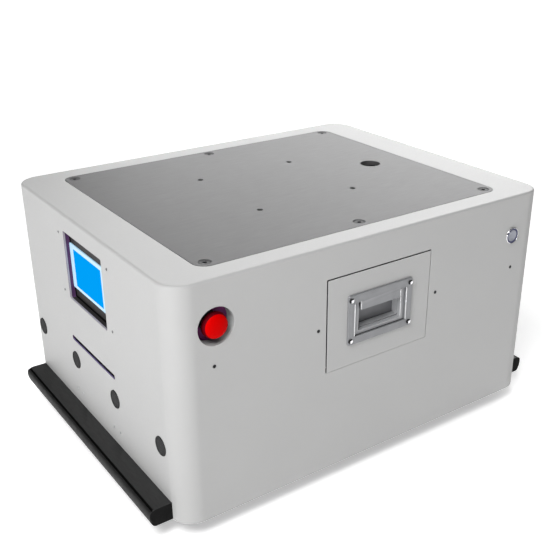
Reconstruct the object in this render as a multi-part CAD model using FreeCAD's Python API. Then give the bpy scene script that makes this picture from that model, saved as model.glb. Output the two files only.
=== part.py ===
import FreeCAD, Part
import math
import os
from FreeCAD import Vector as V

# Autonomous mobile robot: a low box-shaped vehicle with a flat load deck.
# +X is forward (bumper, scanner slot and display face), +Y is the robot's
# left (battery drawer and emergency stop), +Z is up. The origin is on the
# floor under the middle of the body. Millimetres.

# ---------------------------------------------------------------- body sizes
BODY_L = 700.0          # cover length, X
BODY_W = 552.0          # cover width, Y
BODY_TOP = 400.0        # top of the deck
SKIRT_Z = 27.0          # clearance under the cover
WALL = 2.5              # cover wall
R_CORNER = 36.0         # vertical corners of the cover
R_TOP = 4.0             # rounded top edge of the cover
HX = BODY_L / 2
HY = BODY_W / 2

# ---------------------------------------------------------------- load deck
DECK_L = 564.0
DECK_W = 473.0
DECK_R = 20.0
DECK_T = 8.0
DECK_GAP = 0.6
DECK_BOLT_X = 264.8
DECK_BOLT_Y = 221.2
DECK_TAP = 92.0         # payload holes at (+-92, +-92)
DECK_TAP_R = 4.25
CABLE_X = -206.8
CABLE_R = 17.5

# ---------------------------------------------------------------- front face
WIN_HY = 70.5           # display window half width
WIN_Z0, WIN_Z1 = 256.6, 371.5
SCREEN_Z0, SCREEN_Z1 = 273.0, 349.0
SLOT_HY = 81.0          # scanner slot half width
SLOT_Z = 183.0
SLOT_H = 5.2
SONAR_Y = (-224.2, -74.7, 74.7, 224.2)
SONAR_Z = 141.5
SONAR_R = 14.8
DISP_SCREW_Y, DISP_SCREW_Z, DISP_SCREW_DZ = 89.9, 313.9, 49.6
SWITCH_Y = 71.2         # bumper switches, 22.2 mm hole pitch
SWITCH_PITCH = 22.2
SWITCH_Z = 84.0

# ---------------------------------------------------------------- side face
DRAWER_HX = 100.8
DRAWER_Z0, DRAWER_Z1 = 198.0, 350.0
DRAWER_GAP = 1.4
DRAWER_TRAVEL = 200.0
HANDLE_Z = 274.0
ESTOP_X, CTRL_Z = 282.5, 331.7
ESTOP_HOLE_R = 28.0
ESTOP_HEAD_R = 19.3
POWER_X = -282.5
COVER_SCREW_X = (-288.0, -114.9, 114.9, 288.0)
COVER_SCREW_Z = 273.5

# ---------------------------------------------------------------- bumpers
BUMPER_HY = 245.0
BUMPER_OUT = 35.0
BUMPER_TRAVEL = 6.0
GUIDE_Y = 90.0

# ---------------------------------------------------------------- running gear
BASE_Z0, BASE_Z1 = 70.0, 76.0
BASE_HX, BASE_HY = 316.0, 266.0
WHEEL_R = 75.0
WHEEL_W = 40.0
WHEEL_Y = 225.0
PIVOT_X, PIVOT_Z = 112.0, 106.0
SPRING_X, SPRING_Y = -55.0, 191.0
CASTER_X, CASTER_Y = 250.0, 185.0
CASTER_R = 25.0
CASTER_TRAIL = 18.0

os.makedirs("parts", exist_ok=True)


def box(x0, x1, y0, y1, z0, z1):
    return Part.makeBox(x1 - x0, y1 - y0, z1 - z0, V(x0, y0, z0))


def cyl(p, r, h, d=(0, 0, 1)):
    return Part.makeCylinder(r, h, V(*p), V(*d))


def cone(p, r0, r1, h, d=(0, 0, 1)):
    return Part.makeCone(r0, r1, h, V(*p), V(*d))


def vertical_edges(s, tol=1e-6):
    out = []
    for e in s.Edges:
        a, b = e.Vertexes[0].Point, e.Vertexes[-1].Point
        if abs(a.x - b.x) < tol and abs(a.y - b.y) < tol and abs(a.z - b.z) > tol:
            out.append(e)
    return out


def edges_along(s, axis, tol=1e-6):
    out = []
    for e in s.Edges:
        if len(e.Vertexes) < 2:
            continue
        d = e.Vertexes[-1].Point - e.Vertexes[0].Point
        c = [abs(d.x), abs(d.y), abs(d.z)]
        k = c.pop(axis)
        if k > tol and max(c) < tol:
            out.append(e)
    return out


def rbox(x0, x1, y0, y1, z0, z1, r, axis=2):
    b = box(x0, x1, y0, y1, z0, z1)
    return b.makeFillet(r, edges_along(b, axis))


def prism_xz(pts, y0, y1):
    """Polygon in the XZ plane, extruded along Y."""
    w = Part.makePolygon([V(x, y0, z) for x, z in pts] + [V(pts[0][0], y0, pts[0][1])])
    return Part.Face(w).extrude(V(0, y1 - y0, 0))


def link_xz(circles, y0, y1):
    """Plate in the XZ plane: the tangent hull of two circles (x, z, r)."""
    (xa, za, ra), (xb, zb, rb) = circles
    a = cyl((xa, y0, za), ra, y1 - y0, (0, 1, 0))
    b = cyl((xb, y0, zb), rb, y1 - y0, (0, 1, 0))
    dx, dz = xb - xa, zb - za
    d = math.hypot(dx, dz)
    th = math.atan2(dz, dx)
    al = math.acos((ra - rb) / d)
    pts = []
    for s, (cx, cz, r) in ((1, (xa, za, ra)), (1, (xb, zb, rb)),
                           (-1, (xb, zb, rb)), (-1, (xa, za, ra))):
        t = th + s * al
        pts.append((cx + r * math.cos(t), cz + r * math.sin(t)))
    return a.fuse(prism_xz(pts, y0, y1)).fuse(b).removeSplitter()


def ring(p, r_out, r_in, h, d=(0, 0, 1)):
    q = V(*p) - V(*d) * 1.0
    return cyl(p, r_out, h, d).cut(Part.makeCylinder(r_in, h + 2.0, q, V(*d)))


def mirror_x(s):
    return s.mirror(V(0, 0, 0), V(1, 0, 0))


def mirror_y(s):
    return s.mirror(V(0, 0, 0), V(0, 1, 0))


def moved(s, x=0, y=0, z=0):
    c = s.copy()
    c.translate(V(x, y, z))
    return c


def coil(p, d, r, wire, pitch, length):
    """Open helical spring starting at p and running along d."""
    hx = Part.makeHelix(pitch, length, r)
    prof = Part.Wire([Part.Edge(Part.Circle(V(r, 0, 0), V(0, 1, 0), wire))])
    s = Part.Wire(hx.Edges).makePipeShell([prof], True, True)
    rot = FreeCAD.Rotation(V(0, 0, 1), V(*d))
    s.Placement = FreeCAD.Placement(V(*p), rot)
    return s


def save(name, shapes):
    if not isinstance(shapes, (list, tuple)):
        shapes = [shapes]
    solids = []
    for s in shapes:
        solids += s.Solids
    for s in solids:
        if not s.isValid() or s.Volume <= 0:
            print("BAD SOLID in", name, s.isValid(), s.Volume)
    out = solids[0] if len(solids) == 1 else Part.makeCompound(solids)
    out.exportStep("parts/" + name + ".step")
    bb = out.BoundBox
    print("%-22s %2d solids  %9.1f cm3  x %7.1f %7.1f  y %7.1f %7.1f  z %6.1f %6.1f" % (
        name, len(solids), sum(s.Volume for s in solids) / 1000.0,
        bb.XMin, bb.XMax, bb.YMin, bb.YMax, bb.ZMin, bb.ZMax))


# ================================================================ cover shell
outer = rbox(-HX, HX, -HY, HY, SKIRT_Z, BODY_TOP, R_CORNER)
top_edges = [e for e in outer.Edges
             if all(abs(v.Point.z - BODY_TOP) < 1e-6 for v in e.Vertexes)]
outer = outer.makeFillet(R_TOP, top_edges)
inner = rbox(-HX + WALL, HX - WALL, -HY + WALL, HY - WALL,
             SKIRT_Z - 10, BODY_TOP - WALL, R_CORNER - WALL)
cover = outer.cut(inner)
cover = cover.cut(rbox(-DECK_L / 2 - DECK_GAP, DECK_L / 2 + DECK_GAP,
                       -DECK_W / 2 - DECK_GAP, DECK_W / 2 + DECK_GAP,
                       BODY_TOP - 10, BODY_TOP + 10, DECK_R + DECK_GAP))
cuts = []
# display window, scanner slot
cuts.append(rbox(HX - 20, HX + 20, -WIN_HY, WIN_HY, WIN_Z0, WIN_Z1, 3.0, 0))
cuts.append(rbox(HX - 20, HX + 20, -SLOT_HY, SLOT_HY,
                 SLOT_Z - SLOT_H / 2, SLOT_Z + SLOT_H / 2, 2.4, 0))
# range sensors, front and rear
for sx in (1, -1):
    for y in SONAR_Y:
        cuts.append(cyl((sx * (HX - 20), y, SONAR_Z), SONAR_R + 0.3, 40, (sx, 0, 0)))
    # bumper notches along the bottom edge
    cuts.append(box(sx * HX - 30, sx * HX + 30, -BUMPER_HY - 0.6, BUMPER_HY + 0.6,
                    SKIRT_Z - 10, SKIRT_Z + 29.6))
    for y in (SWITCH_Y, -SWITCH_Y):
        for k in (-1, 1):
            cuts.append(cyl((sx * (HX - 10), y + k * SWITCH_PITCH / 2, SWITCH_Z),
                            1.4, 20, (sx, 0, 0)))
for y in (-DISP_SCREW_Y, DISP_SCREW_Y):
    for k in (-1, 1):
        cuts.append(cyl((HX - 10, y, DISP_SCREW_Z + k * DISP_SCREW_DZ), 1.4, 20, (1, 0, 0)))
# drawer opening, emergency stop and power button holes, cover screws
cuts.append(rbox(-DRAWER_HX, DRAWER_HX, HY - 20, HY + 20, DRAWER_Z0, DRAWER_Z1, 1.5, 1))
cuts.append(cyl((ESTOP_X, HY - 20, CTRL_Z), ESTOP_HOLE_R, 40, (0, 1, 0)))
cuts.append(cyl((POWER_X, HY - 20, CTRL_Z), 12.2, 40, (0, 1, 0)))
for sy in (1, -1):
    for x in COVER_SCREW_X:
        cuts.append(cyl((x, sy * (HY - 20), COVER_SCREW_Z), 1.8, 40, (0, sy, 0)))
for c in cuts:
    cover = cover.cut(c)
save("cover_shell", cover)

# ================================================================ deck plate
deck = rbox(-DECK_L / 2, DECK_L / 2, -DECK_W / 2, DECK_W / 2,
            BODY_TOP - DECK_T, BODY_TOP, DECK_R)
bolt_xy = [(x, y) for x in (-DECK_BOLT_X, 0, DECK_BOLT_X) for y in (-DECK_BOLT_Y, DECK_BOLT_Y)]
for x, y in bolt_xy:
    deck = deck.cut(cyl((x, y, BODY_TOP - 20), 4.2, 40))
    deck = deck.cut(cone((x, y, BODY_TOP - 5.6), 4.2, 9.8, 5.6))
for sx in (-1, 1):
    for sy in (-1, 1):
        deck = deck.cut(cyl((sx * DECK_TAP, sy * DECK_TAP, BODY_TOP - 20), DECK_TAP_R, 40))
deck = deck.cut(cyl((CABLE_X, 0, BODY_TOP - 20), CABLE_R, 40))
save("deck_plate", deck)

# countersunk socket bolts that hold the deck to the frame rails
bolts = []
for x, y in bolt_xy:
    b = cone((x, y, BODY_TOP - 5.7), 4.0, 8.7, 4.7)
    b = b.fuse(cyl((x, y, BODY_TOP - 30), 4.0, 24.3))
    hexa = Part.Face(Part.makePolygon(
        [V(x + 2.9 * math.cos(math.radians(60 * k)), y + 2.9 * math.sin(math.radians(60 * k)),
           BODY_TOP - 4.2) for k in range(7)])).extrude(V(0, 0, 6))
    bolts.append(b.cut(hexa))
save("deck_bolts", bolts)

# ================================================================ frame
RAIL_Z0, RAIL_Z1 = 362.0, BODY_TOP - DECK_T
rails = [
    box(-290, 290, 206, 246, RAIL_Z0, RAIL_Z1),
    box(-290, 290, -246, -206, RAIL_Z0, RAIL_Z1),
    box(250, 290, -206, 206, RAIL_Z0, RAIL_Z1),
    box(-290, -250, -206, 206, RAIL_Z0, RAIL_Z1),
    box(-250, 250, 10, 46, RAIL_Z0, RAIL_Z1),
]
for i in range(len(rails)):
    for x, y in bolt_xy:
        if abs(y) > 0 and i < 2:
            rails[i] = rails[i].cut(cyl((x, y, BODY_TOP - 30), 4.0, 40))
save("top_rails", rails)

posts = []
for sx in (1, -1):
    for sy in (1, -1):
        posts.append(box(*sorted((sx * 225, sx * 255)), *sorted((sy * 212, sy * 242)),
                         BASE_Z1, RAIL_Z0))
        posts.append(box(*sorted((sx * 103, sx * 127)), *sorted((sy * 212, sy * 242)),
                         BASE_Z1, RAIL_Z0))
    posts.append(box(*sorted((sx * 103, sx * 127)), 16, 40, BASE_Z1, RAIL_Z0))
save("frame_posts", posts)

# ---------------------------------------------------------------- base plate
base = rbox(-BASE_HX, BASE_HX, -BASE_HY, BASE_HY, BASE_Z0, BASE_Z1, 26)
for sy in (1, -1):
    base = base.cut(rbox(-88, 88, *sorted((sy * 198, sy * 252)), 60, 90, 6))
    base = base.cut(rbox(-88, 104, *sorted((sy * 60, sy * 199)), 60, 90, 6))
save("base_plate", base)

# ---------------------------------------------------------------- equipment
shelf = box(-103, 103, -240, 40, 190, 193)
shelf = shelf.fuse(box(-103, -101, -240, 40, 193, 199)).fuse(box(101, 103, -240, 40, 193, 199))
shelf = shelf.removeSplitter()
save("equipment_shelf", shelf)
ctrl = rbox(-90, 90, -200, -20, 193, 262, 4)
for k in range(7):
    ctrl = ctrl.cut(box(-60, 60, -180 + 22 * k, -172 + 22 * k, 258, 270))
save("control_box", ctrl)
drivers = []
for sx in (1, -1):
    d = box(*sorted((sx * 140, sx * 220)), -55, 55, BASE_Z1, BASE_Z1 + 34)
    for k in range(8):
        d = d.cut(box(*sorted((sx * 138, sx * 222)), -49 + 12.5 * k, -42 + 12.5 * k,
                      BASE_Z1 + 20, BASE_Z1 + 40))
    drivers.append(d)
save("motor_drivers", drivers)

# ---------------------------------------------------------------- cover brackets
brk, screws = [], []
for sy in (1, -1):
    for x in COVER_SCREW_X:
        sx = 1 if x > 0 else -1
        a = abs(x)
        inner_x = 103 if a < 200 else 225
        outer_x = 127 if a < 200 else 300
        web = box(*sorted((sx * inner_x, sx * outer_x)), *sorted((sy * 242, sy * (HY - WALL))),
                  256, 259)
        pad = box(*sorted((sx * (a - 12), sx * min(a + 12, outer_x))),
                  *sorted((sy * (HY - WALL - 3), sy * (HY - WALL))), 259, 288)
        b = web.fuse(pad).removeSplitter()
        b = b.cut(cyl((x, sy * 250, COVER_SCREW_Z), 1.6, 40, (0, sy, 0)))
        brk.append(b)
        s = cyl((x, sy * (HY - 12), COVER_SCREW_Z), 1.6, 12, (0, sy, 0))
        head = cyl((x, sy * HY, COVER_SCREW_Z), 2.8, 0.8, (0, sy, 0))
        s = s.fuse(head).cut(cyl((x, sy * (HY + 0.2), COVER_SCREW_Z), 1.1, 3, (0, sy, 0)))
        screws.append(s)
save("cover_brackets", brk)
save("cover_screws", screws)

small = []


def small_screw(p, d):
    s = cyl(tuple(V(*p) - V(*d) * 9.0), 1.3, 9.0, d)
    h = cyl(p, 2.1, 0.6, d)
    return s.fuse(h).cut(cyl(tuple(V(*p) + V(*d) * 0.15), 0.75, 3, d))


for y in (-DISP_SCREW_Y, DISP_SCREW_Y):
    for k in (-1, 1):
        small.append(small_screw((HX, y, DISP_SCREW_Z + k * DISP_SCREW_DZ), (1, 0, 0)))
for sx in (1, -1):
    for y in (SWITCH_Y, -SWITCH_Y):
        for k in (-1, 1):
            small.append(small_screw((sx * HX, y + k * SWITCH_PITCH / 2, SWITCH_Z), (sx, 0, 0)))
save("small_screws", small)

# ================================================================ display
XI = HX - WALL
house = box(XI - 24, XI, -76, 76, 250.5, 377.5)
house = house.fuse(box(XI - 3, XI, -97, 97, 254, 374)).removeSplitter()
house = house.cut(rbox(HX - 10, HX + 5, -WIN_HY, WIN_HY, WIN_Z0, WIN_Z1, 3.0, 0))
house = house.cut(box(HX - 18, HX, -70.0, 70.0, SCREEN_Z0 - 0.5, SCREEN_Z1 + 0.5))
for y in (-DISP_SCREW_Y, DISP_SCREW_Y):
    for k in (-1, 1):
        house = house.cut(cyl((HX - 10, y, DISP_SCREW_Z + k * DISP_SCREW_DZ), 1.3, 20, (1, 0, 0)))
save("display_housing", house)
save("display_screen", box(HX - 18, HX - 8, -69.8, 69.8, SCREEN_Z0, SCREEN_Z1))

# ================================================================ scanner
LX = 290.0
stand = box(LX - 40, LX + 40, -40, 40, 137, 140)
stand = stand.fuse(box(LX - 40, LX - 37, -40, 40, BASE_Z1, 137))
stand = stand.fuse(box(LX + 22, LX + 25, -40, 40, BASE_Z1, 137))
stand = stand.fuse(box(LX - 40, LX + 25, -40, 40, BASE_Z1, BASE_Z1 + 3)).removeSplitter()
save("lidar_stand", stand)
lb = cyl((LX, 0, 140), 38, 30)
lb = lb.makeFillet(3, [e for e in lb.Edges if abs(e.BoundBox.ZMin - 170) < 1e-6 and abs(e.BoundBox.ZMax - 170) < 1e-6])
lb = lb.cut(cyl((LX, 0, 160), 10.05, 20))
save("lidar_base", lb)
lh = cyl((LX, 0, 170.4), 35, 31.6)
lh = lh.makeFillet(3, [e for e in lh.Edges if abs(e.BoundBox.ZMin - 202) < 1e-6 and abs(e.BoundBox.ZMax - 202) < 1e-6])
lh = lh.cut(ring((LX, 0, 176), 40, 34, 15))
lh = lh.fuse(cyl((LX, 0, 160.4), 10, 12)).removeSplitter()
# two flat windows of the range finder in the spinning head
lh = lh.cut(box(LX + 31, LX + 40, -16, -2, 178, 189)).cut(box(LX + 31, LX + 40, 2, 16, 178, 189))
save("lidar_head", lh)

# ================================================================ range sensors
sb, sf = [], []
for sx in (1, -1):
    for y in SONAR_Y:
        b = cyl((sx * (HX - 26), y, SONAR_Z), 12.0, 21.5, (sx, 0, 0))
        b = b.fuse(cyl((sx * (XI - 3), y, SONAR_Z), 17.0, 3, (sx, 0, 0)))
        b = b.fuse(cyl((sx * XI, y, SONAR_Z), SONAR_R, WALL + 1.5, (sx, 0, 0)))
        b = b.cut(cyl((sx * (HX + 0.2), y, SONAR_Z), 12.2, 10, (sx, 0, 0))).removeSplitter()
        sb.append(b)
        sf.append(cyl((sx * (HX + 0.2), y, SONAR_Z), 12.0, 0.8, (sx, 0, 0)))
save("sonar_bodies", sb)
save("sonar_faces", sf)

# ================================================================ emergency stop
YI = HY - WALL
cup = cyl((ESTOP_X, 251.5, CTRL_Z), 30.0, YI - 251.5, (0, 1, 0))
cup = cup.cut(cyl((ESTOP_X, 254, CTRL_Z), ESTOP_HOLE_R, 30, (0, 1, 0)))
cup = cup.cut(cyl((ESTOP_X, 240, CTRL_Z), 11.1, 30, (0, 1, 0)))
save("estop_cup", cup)
eb = cyl((ESTOP_X, 254, CTRL_Z), 15.0, 3.0, (0, 1, 0))
eb = eb.fuse(cyl((ESTOP_X, 226, CTRL_Z), 11.0, 28.0, (0, 1, 0)))
eb = eb.fuse(cyl((ESTOP_X, 246.5, CTRL_Z), 15.0, 5.0, (0, 1, 0)))
eb = eb.fuse(box(ESTOP_X - 15, ESTOP_X + 15, 200, 226, CTRL_Z - 14, CTRL_Z + 14)).removeSplitter()
eb = eb.cut(cyl((ESTOP_X, 225, CTRL_Z), 7.05, 40, (0, 1, 0)))
save("estop_base", eb)
save("estop_stem", cyl((ESTOP_X, 230, CTRL_Z), 7.0, 39.1, (0, 1, 0)))
# mushroom head, turned profile: (radius, height along the axis)
prof = [(0, 281.5), (6, 281.2), (11, 280.15), (15, 278.0), (17.7, 275.2), (18.95, 272.5), (19.3, 270.0),
        (19.0, 268.1), (17.6, 266.7), (15, 265.7), (12, 264.6), (7.05, 264.6), (7.05, 269.4), (0, 269.4)]
w = Part.makePolygon([V(ESTOP_X + r, y, CTRL_Z) for r, y in prof] + [V(ESTOP_X, 281.5, CTRL_Z)])
save("estop_head", Part.Face(w).revolve(V(ESTOP_X, 0, CTRL_Z), V(0, 1, 0), 360))

# ================================================================ power button
pb = cyl((POWER_X, HY, CTRL_Z), 14.0, 2.6, (0, 1, 0))
pb = pb.makeFillet(0.8, [e for e in pb.Edges if abs(e.BoundBox.YMin - HY - 2.6) < 1e-4])
pb = pb.fuse(cyl((POWER_X, 248, CTRL_Z), 12.0, HY - 248, (0, 1, 0)))
pb = pb.fuse(cyl((POWER_X, 262, CTRL_Z), 16.0, 4.0, (0, 1, 0))).removeSplitter()
pb = pb.cut(cyl((POWER_X, 252, CTRL_Z), 9.9, 40, (0, 1, 0)))
pb = pb.cut(cyl((POWER_X, HY + 0.6, CTRL_Z), 12.6, 40, (0, 1, 0)))
save("power_bezel", pb)
save("power_light_ring", ring((POWER_X, HY + 0.6, CTRL_Z), 12.5, 9.9, 1.6, (0, 1, 0)))
save("power_cap", cyl((POWER_X, 256, CTRL_Z), 9.6, HY + 2.4 - 256, (0, 1, 0)))

# ================================================================ battery drawer
rf, rm = [], []
for sx in (1, -1):
    f = box(101.5, 103, 10, 262, 240, 285)
    f = f.fuse(box(92, 103, 10, 262, 240, 241.5)).fuse(box(92, 103, 10, 262, 283.5, 285)).removeSplitter()
    m = box(91, 100.0, 12, 262, 243, 282)
    rf.append(f if sx > 0 else mirror_x(f))
    rm.append(m if sx > 0 else mirror_x(m))
save("drawer_rails_fixed", rf)
save("drawer_rails_moving", rm)

tray = box(-91, 91, 20, 273, 201, 320).cut(box(-89, 89, 22, 271, 203, 330))
tray = tray.cut(box(-48, 48, 268, 280, 244, 305))
for sx in (1, -1):
    for sz in (1, -1):
        tray = tray.cut(cyl((sx * 57.4, 262, HANDLE_Z + sz * 33.4), 2.2, 20, (0, 1, 0)))
save("drawer_tray", tray)

front = box(-DRAWER_HX + DRAWER_GAP, DRAWER_HX - DRAWER_GAP, 273, HY,
            DRAWER_Z0 + DRAWER_GAP, DRAWER_Z1 - DRAWER_GAP)
front = front.cut(box(-45, 45, 268, 280, 247.5, 303.5))
for sx in (1, -1):
    for sz in (1, -1):
        front = front.cut(cyl((sx * 57.4, 268, HANDLE_Z + sz * 33.4), 2.1, 12, (0, 1, 0)))
save("drawer_front", front)

bat = rbox(-86, 86, 28, 248, 203, 312, 5)
bat = bat.cut(box(-40, 40, 220, 260, 296, 320))
save("battery_pack", bat)

# recessed pull handle: flange, dish and a lip that hangs over the dish
HZ = HANDLE_Z
hd = rbox(-62.5, 62.5, HY, HY + 3.0, HZ - 41, HZ + 41, 4, 1)
hd = hd.fuse(rbox(-44, 44, 258, HY + 1, 248.5, 302.5, 6, 1))
hd = hd.cut(rbox(-41, 41, 260, HY + 10, 253, 299.5, 5, 1))
hd = hd.cut(rbox(-50, 50, HY + 1.2, HY + 10, 246, 301, 5, 1))
lip = box(-38.5, 38.5, HY - 2.0, HY + 3.0, 287.5, 303)
hd = hd.fuse(lip).removeSplitter()
for sx in (1, -1):
    for sz in (1, -1):
        hd = hd.cut(cyl((sx * 57.4, HY - 5, HZ + sz * 33.4), 2.1, 12, (0, 1, 0)))
save("pull_handle", hd)
hs = []
for sx in (1, -1):
    for sz in (1, -1):
        c = V(sx * 57.4, HY + 3.0, HZ + sz * 33.4)
        dome = Part.makeSphere(4.6, V(c.x, HY + 1.4, c.z)).common(
            cyl((c.x, HY + 3.0, c.z), 5.0, 6.0, (0, 1, 0)))
        s = dome.fuse(cyl((c.x, HY - 6, c.z), 2.0, 9.5, (0, 1, 0))).removeSplitter()
        hs.append(s)
save("handle_screws", hs)

# ================================================================ bumpers
# section of the rubber strip, (outward from the face, height)
S = SKIRT_Z
strip_pts = [(-10.0, S), (25.5, S), (29.4, S + 1.4), (31.8, S + 4.4), (33.4, S + 9), (34.6, S + 14.5),
             (35.0, S + 19), (34.8, S + 22.2), (33.8, S + 24.8), (32.3, S + 26.4), (31.2, S + 26.6),
             (30.4, S + 23.4), (27.8, S + 23.4), (27.4, S + 27.8), (25.7, S + 29.0), (-10.0, S + 29.0)]


def bumper_strip():
    st = prism_xz([(HX + x, z) for x, z in strip_pts], -BUMPER_HY, BUMPER_HY)
    for y in (SWITCH_Y, -SWITCH_Y):
        # notch for the switch tab
        st = st.cut(box(HX - 12, HX - 5.6, y - 5.5, y + 5.5, S + 24, S + 30))
    return st.cut(box(HX - 20, HX + 16, -BUMPER_HY + 5, BUMPER_HY - 5, S + 4, S + 25))


def bumper_bar():
    b = box(HX - 18, HX + 16, -BUMPER_HY + 5, BUMPER_HY - 5, S + 4, S + 25)
    b = b.cut(box(HX - 13, HX + 11, -BUMPER_HY, BUMPER_HY, S + 8, S + 21))
    for y in (GUIDE_Y, -GUIDE_Y):
        # guide rod with its stop collar
        b = b.fuse(cyl((HX - 92, y, S + 14.5), 5.0, 75, (1, 0, 0)))
        b = b.fuse(cyl((HX - 92, y, S + 14.5), 8.0, 4, (1, 0, 0)))
    for y in (SWITCH_Y, -SWITCH_Y):
        b = b.fuse(box(HX - 18, HX - 6, y - 5, y + 5, S + 25, S + 45))
    return b.removeSplitter()


bst, bbr = bumper_strip(), bumper_bar()
save("front_bumper_strip", bst)
save("front_bumper_bar", bbr)
save("rear_bumper_strip", mirror_x(bst))
save("rear_bumper_bar", mirror_x(bbr))

guides, springs, switches = [], [], []
for sx in (1, -1):
    for y in (GUIDE_Y, -GUIDE_Y):
        g = box(HX - 80, HX - 42, y - 14, y + 14, S + 3, BASE_Z0)
        g = g.cut(cyl((HX - 100, y, S + 14.5), 5.05, 100, (1, 0, 0)))
        c = coil((HX - 41.0, y, S + 14.5), (1, 0, 0), 7.6, 0.9, 4.4, 21.5)
        guides.append(g if sx > 0 else mirror_x(g))
        springs.append(c if sx > 0 else mirror_x(c))
    for y in (SWITCH_Y, -SWITCH_Y):
        s = box(XI - 10.3, XI, y - 13.9, y + 13.9, SWITCH_Z - 8.0, SWITCH_Z + 8.0)
        s = s.fuse(box(XI - 7, XI - 4, y - 2, y + 2, SWITCH_Z - 11.0, SWITCH_Z - 8.0)).removeSplitter()
        for k in (-1, 1):
            s = s.cut(cyl((XI - 20, y + k * SWITCH_PITCH / 2, SWITCH_Z), 1.3, 40, (1, 0, 0)))
        switches.append(s if sx > 0 else mirror_x(s))
save("bumper_guides", guides)
save("bumper_springs", springs)
save("bumper_switches", switches)

# ================================================================ drive modules
WY0, WY1 = WHEEL_Y - WHEEL_W / 2, WHEEL_Y + WHEEL_W / 2

tyre = cyl((0, WY0, WHEEL_R), WHEEL_R, WHEEL_W, (0, 1, 0))
tyre = tyre.makeFillet(4, tyre.Edges[0:1] + [e for e in tyre.Edges if abs(e.BoundBox.YMin - WY1) < 1e-4 and abs(e.BoundBox.YMax - WY1) < 1e-4])
tyre = tyre.cut(cyl((0, WY0 - 5, WHEEL_R), 62, WHEEL_W + 10, (0, 1, 0)))

hub = cyl((0, WY0 + 2, WHEEL_R), 62, WHEEL_W - 4, (0, 1, 0))
hub = hub.cut(ring((0, WY0 + 1, WHEEL_R), 54, 22, 13, (0, 1, 0)))
hub = hub.cut(ring((0, WY1 - 14, WHEEL_R), 54, 22, 13, (0, 1, 0)))
for k in range(6):
    a = math.radians(60 * k + 30)
    hub = hub.cut(cyl((38 * math.cos(a), WY0, WHEEL_R + 38 * math.sin(a)), 9, WHEEL_W, (0, 1, 0)))
hub = hub.cut(cyl((0, WY0 - 1, WHEEL_R), 7, WHEEL_W + 2, (0, 1, 0)))
axle = cyl((0, 158, WHEEL_R), 7, WY1 + 4 - 158, (0, 1, 0))
axle = axle.fuse(cyl((0, WY1 - 2, WHEEL_R), 11, 6, (0, 1, 0))).removeSplitter()

arm = link_xz([(PIVOT_X, PIVOT_Z, 20.0), (0.0, WHEEL_R, 32.0)], 186, 196)
arm = arm.fuse(box(-72, -10, 186, 196, 82, 100))
arm = arm.fuse(box(-72, -38, 180, 202, 84, 100)).removeSplitter()
arm = arm.cut(cyl((0, 180, WHEEL_R), 10.0, 30, (0, 1, 0)))
arm = arm.cut(cyl((PIVOT_X, 180, PIVOT_Z), 8.05, 30, (0, 1, 0)))
lighten = rbox(38, 82, 180, 200, 84, 100, 6, 1)
arm = arm.cut(lighten)

gear = cyl((0, 134, WHEEL_R), 30, 52, (0, 1, 0))
gear = gear.fuse(cyl((0, 66, WHEEL_R), 27, 68, (0, 1, 0)))
gear = gear.fuse(cyl((0, 62, WHEEL_R), 20, 6, (0, 1, 0))).removeSplitter()
gear = gear.cut(cyl((0, 157.5, WHEEL_R), 7.05, 40, (0, 1, 0)))

brackets, pins, asp = [], [], []
clevis = box(PIVOT_X, 146, 166, 210, BASE_Z1, BASE_Z1 + 6)
for y0, y1 in ((172, 182), (200, 210)):
    ear = box(PIVOT_X - 18, PIVOT_X + 18, y0, y1, BASE_Z1, PIVOT_Z)
    ear = ear.fuse(cyl((PIVOT_X, y0, PIVOT_Z), 18, y1 - y0, (0, 1, 0)))
    clevis = clevis.fuse(ear)
clevis = clevis.removeSplitter().cut(cyl((PIVOT_X, 160, PIVOT_Z), 8.0, 60, (0, 1, 0)))
pin = cyl((PIVOT_X, 168, PIVOT_Z), 8.0, 43.5, (0, 1, 0)).fuse(cyl((PIVOT_X, 166, PIVOT_Z), 11.0, 6.0, (0, 1, 0))).removeSplitter()
sbk = box(-104, -98, 176, 206, BASE_Z1, 166)
sbk = sbk.fuse(box(-104, -40, 176, 206, 160, 166)).fuse(box(-128, -98, 176, 206, BASE_Z1, BASE_Z1 + 5)).removeSplitter()
sp = coil((SPRING_X, SPRING_Y, 101.6), (0, 0, 1), 9.0, 1.5, 9.4, 56.8)

for name, sh in (("drive_tyre", [tyre]), ("drive_hub", [hub, axle]), ("swing_arm", [arm]),
                 ("gearmotor", [gear])):
    save(name + "_left", sh)
    save(name + "_right", [mirror_y(s) for s in sh])
for f in (lambda s: s, mirror_y):
    brackets += [f(clevis), f(sbk)]
    pins.append(f(pin))
    asp.append(f(sp))
save("drive_brackets", brackets)
save("arm_pivot_pins", pins)
save("arm_springs", asp)

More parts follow.
